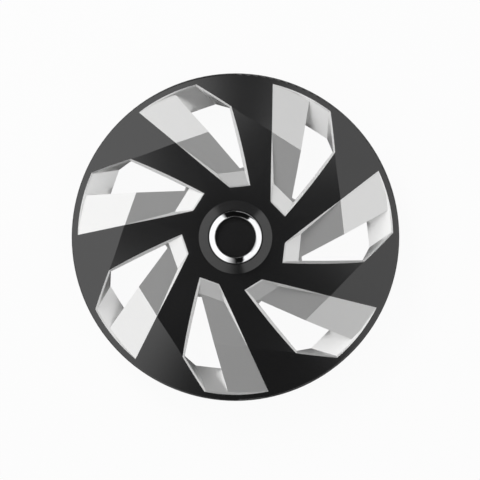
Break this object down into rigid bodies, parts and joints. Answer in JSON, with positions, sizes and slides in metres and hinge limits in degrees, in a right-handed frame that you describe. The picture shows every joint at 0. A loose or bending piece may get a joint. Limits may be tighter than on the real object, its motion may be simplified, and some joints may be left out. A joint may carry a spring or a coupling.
{
  "type": "hubcap",
  "caption": "Round wheel cover with swept windows, straight-creased spokes, a raised hub with a chrome trim ring and plain cap, and snap-in lugs with a spring wire behind.",
  "frame": {"origin": "centre of the plane through the tips of the lugs, on the cover's axis", "axes": "+Z along the axis, out of the face towards the viewer. +Y is up and +X is to the right in the picture"},
  "size_m": [0.4, 0.4, 0.068],
  "materials": {
    "painted_face": "semi-gloss black paint, silver paint in the windows",
    "chromed_ring": "bright chrome plating on plastic",
    "cap_plastic": "smooth black",
    "spring_wire": "drawn spring steel, zinc plated"
  },
  "bodies": {
    "root": {"cover": "painted_face", "trim_ring": "chromed_ring", "centre_cap": "cap_plastic", "retaining_ring": "spring_wire"}
  },
  "joints": []
}
